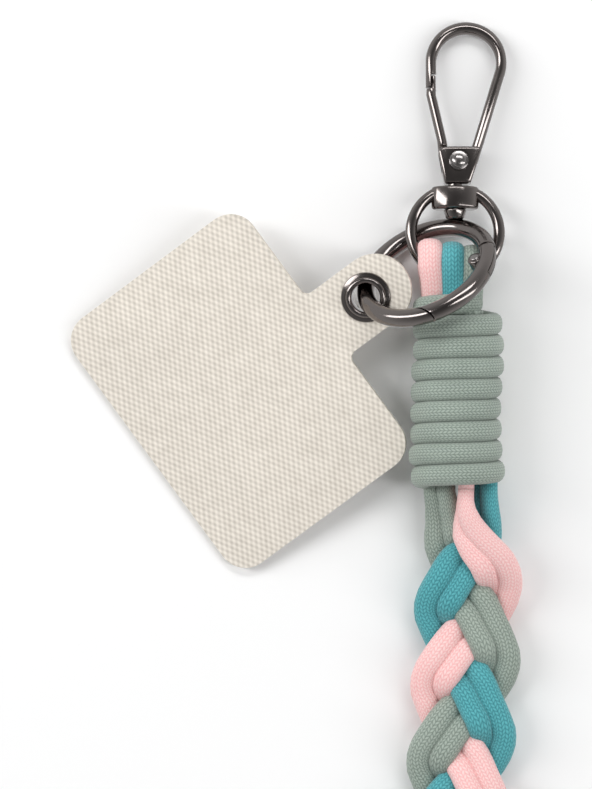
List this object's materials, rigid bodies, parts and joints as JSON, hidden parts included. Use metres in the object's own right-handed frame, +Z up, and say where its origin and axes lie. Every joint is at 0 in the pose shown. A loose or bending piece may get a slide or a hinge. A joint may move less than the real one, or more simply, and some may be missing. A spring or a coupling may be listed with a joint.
{
  "type": "phone crossbody strap",
  "caption": "Plaited cord strap laid in a hairpin, with wrapped ends, swivel snap hooks and a woven phone patch on a round gate ring.",
  "frame": {"origin": "middle of the laid strap's outer box, on the surface that it lies on", "axes": "+Y from the bend of the plait to the two hooks, +X from the end with the patch to the far end, +Z up"},
  "size_m": [0.2056, 0.4882, 0.0239],
  "materials": {
    "gunmetal": "polished dark nickel plating",
    "dark_pin": "polished dark nickel plating",
    "cream_weave": "fine basket weave",
    "pink_cord": "fine braided cord",
    "teal_cord": "fine braided cord",
    "sage_cord": "fine braided cord"
  },
  "bodies": {
    "strap": {"swivel_eye": "gunmetal", "gate_ring": "gunmetal", "gate_ring_pin": "dark_pin", "patch": "cream_weave", "eyelet": "gunmetal", "near_wrap": "sage_cord", "near_loop_pink": "pink_cord", "near_loop_teal": "teal_cord", "near_loop_sage": "sage_cord", "far_wrap": "sage_cord", "far_loop_pink": "pink_cord", "far_loop_teal": "teal_cord", "far_loop_sage": "sage_cord", "far_hook": "gunmetal", "plait_pink_near": "pink_cord", "plait_pink_bend": "pink_cord", "plait_pink_far": "pink_cord", "plait_sage_near": "sage_cord", "plait_sage_bend": "sage_cord", "plait_sage_far": "sage_cord", "plait_teal_near": "teal_cord", "plait_teal_bend": "teal_cord", "plait_teal_far": "teal_cord"},
    "hook": {"hook_body": "gunmetal", "hook_rivet": "dark_pin"},
    "hook_gate": {"hook_gate": "gunmetal"},
    "ring_gate": {"gate_ring_gate": "gunmetal"}
  },
  "joints": [
    {"name": "hook_swivel", "type": "hinge", "parent": "strap", "child": "hook", "pos_m": [-0.02694, 0.20261, 0.00679], "axis": [0, 0.9915, -0.1297], "continuous": true},
    {"name": "hook_gate_hinge", "type": "hinge", "parent": "hook", "child": "hook_gate", "pos_m": [-0.02621, 0.21649, 0.00497], "axis": [0, -0.1297, -0.9915], "range_deg": [0, 20], "stiffness_Nm_per_rad": 0.005, "springref_deg": -17.19},
    {"name": "ring_gate_hinge", "type": "hinge", "parent": "strap", "child": "ring_gate", "pos_m": [-0.02292, 0.19633, 0.01609], "axis": [0.3774, -0.7038, -0.6018], "range_deg": [0, 25], "stiffness_Nm_per_rad": 0.01, "springref_deg": -17.19}
  ]
}
